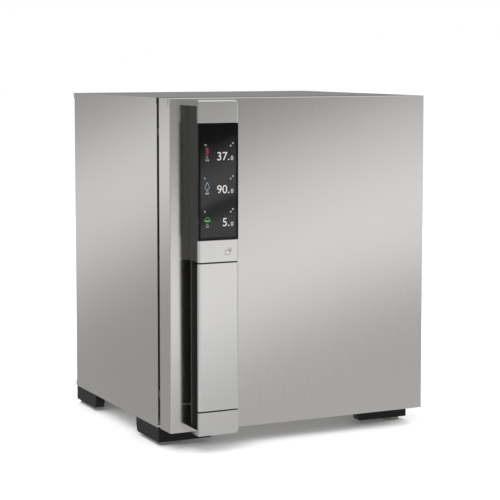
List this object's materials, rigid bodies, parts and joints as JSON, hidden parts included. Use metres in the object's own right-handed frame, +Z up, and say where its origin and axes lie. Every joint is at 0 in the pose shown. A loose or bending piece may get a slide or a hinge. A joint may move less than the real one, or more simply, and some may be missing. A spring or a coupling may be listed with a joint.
{
  "type": "carbon dioxide incubator",
  "caption": "Bench carbon dioxide incubator with a side-hinged insulated door, a control bar with display and pull grip, an inner glass door, shelves and a water tray.",
  "frame": {"origin": "on the floor, under the middle of the whole object's width and depth", "axes": "+Z up, +X to the right as seen from the front, -Y out of the door's front"},
  "size_m": [0.56, 0.604, 0.68],
  "materials": {
    "cabinet_steel": "satin",
    "inner_steel": "satin",
    "chamber_steel": "polished",
    "hinge_steel": "satin",
    "silver_finish": "satin",
    "dark_moulding": "matte",
    "black_frame": "gloss",
    "display_cover_glass": "gloss",
    "display_screen": "gloss",
    "pane_glass": "gloss",
    "foot_plastic": "matte",
    "pad_rubber": "matte",
    "gasket_rubber": "matte",
    "silicone": "satin",
    "lock_plastic": "matte",
    "mineral_wool": "matte",
    "heater_foil": "satin",
    "circuit_board": "satin",
    "supply_case": "satin",
    "motor_case": "satin",
    "fan_aluminium": "satin",
    "zinc_screw": "satin",
    "inlet_plastic": "satin",
    "rocker_plastic": "gloss",
    "nipple_brass": "satin",
    "hose_clear": "satin",
    "filter_plastic": "gloss",
    "sensor_steel": "satin"
  },
  "bodies": {
    "cabinet": {"top_cover": "cabinet_steel", "base_pan": "cabinet_steel", "side_panel_left": "cabinet_steel", "side_panel_right": "cabinet_steel", "back_panel": "cabinet_steel", "back_panel_screws": "zinc_screw", "front_frame": "inner_steel", "chamber_liner": "chamber_steel", "insulation": "mineral_wool", "chamber_heaters": "heater_foil", "front_feet": "foot_plastic", "rear_feet": "foot_plastic", "levelling_feet": "pad_rubber", "door_hinge_brackets": "hinge_steel", "striker_pegs": "hinge_steel", "glass_hinge_brackets": "hinge_steel", "glass_seal": "silicone", "shelf_rails": "chamber_steel", "air_baffle": "chamber_steel", "fan_motor": "motor_case", "temperature_probes": "sensor_steel", "gas_sensor": "sensor_steel", "humidity_sensor": "sensor_steel", "service_plate": "inner_steel", "control_board": "circuit_board", "power_supply": "supply_case", "gas_valve": "motor_case", "gas_filter": "filter_plastic", "gas_tubes": "hose_clear", "gas_inlet_nipple": "nipple_brass", "mains_inlet": "inlet_plastic", "access_port_tube": "inner_steel"},
    "door": {"door_outer_skin": "cabinet_steel", "door_inner_panel": "inner_steel", "door_insulation": "mineral_wool", "door_heater": "heater_foil", "door_gasket": "gasket_rubber", "door_hinge_leaves": "hinge_steel", "lock_blocks": "lock_plastic", "bar_housing": "dark_moulding", "side_port_cover": "dark_moulding", "top_cap": "silver_finish", "display_frame": "black_frame", "display_glass": "display_cover_glass", "display_panel": "display_screen", "display_board": "circuit_board", "reader_cover": "silver_finish", "bottom_cap": "silver_finish", "grip_rod": "hinge_steel"},
    "grip": {"grip_plate": "silver_finish"},
    "glass_door": {"glass_pane": "pane_glass", "glass_hinge_straps": "hinge_steel", "glass_knob": "hinge_steel"},
    "upper_shelf": {"shelf_upper": "chamber_steel"},
    "lower_shelf": {"shelf_lower": "chamber_steel"},
    "tray": {"water_tray": "chamber_steel"},
    "fan": {"fan_wheel": "fan_aluminium", "fan_shaft": "hinge_steel"},
    "rocker": {"switch_rocker": "rocker_plastic"},
    "plug": {"access_port_plug": "silicone"}
  },
  "joints": [
    {"name": "door_swing", "type": "hinge", "parent": "cabinet", "child": "door", "pos_m": [0.274, -0.198, 0.3], "axis": [0, 0, 1], "range_deg": [0, 105]},
    {"name": "glass_door_swing", "type": "hinge", "parent": "cabinet", "child": "glass_door", "pos_m": [0.225, -0.1958, 0.3], "axis": [0, 0, 1], "range_deg": [0, 105]},
    {"name": "upper_shelf_slide", "type": "slide", "parent": "cabinet", "child": "upper_shelf", "axis": [0, -1, 0], "range_m": [0, 0.147]},
    {"name": "lower_shelf_slide", "type": "slide", "parent": "cabinet", "child": "lower_shelf", "axis": [0, -1, 0], "range_m": [0, 0.147]},
    {"name": "tray_slide", "type": "slide", "parent": "cabinet", "child": "tray", "axis": [0, -1, 0], "range_m": [0, 0.147]},
    {"name": "grip_pull", "type": "hinge", "parent": "door", "child": "grip", "pos_m": [-0.1685, -0.291, 0.227], "axis": [0, 0, 1], "range_deg": [0, 12], "stiffness_Nm_per_rad": 0.8},
    {"name": "fan_spin", "type": "hinge", "parent": "cabinet", "child": "fan", "pos_m": [0, 0.14, 0.3585], "axis": [0, 1, 0], "continuous": true},
    {"name": "switch_tilt", "type": "hinge", "parent": "cabinet", "child": "rocker", "pos_m": [0.18, 0.2728, 0.119], "axis": [1, 0, 0], "range_deg": [0, 14]},
    {"name": "port_plug_pull", "type": "slide", "parent": "cabinet", "child": "plug", "axis": [0, 1, 0], "range_m": [0, 0.045]}
  ],
  "couplings": [
    {"joint": "glass_door_swing", "follows": "door_swing", "ratio": 1},
    {"joint": "upper_shelf_slide", "follows": "door_swing", "m_per_rad": 0.08},
    {"joint": "lower_shelf_slide", "follows": "door_swing", "m_per_rad": 0.08},
    {"joint": "tray_slide", "follows": "door_swing", "m_per_rad": 0.08}
  ]
}
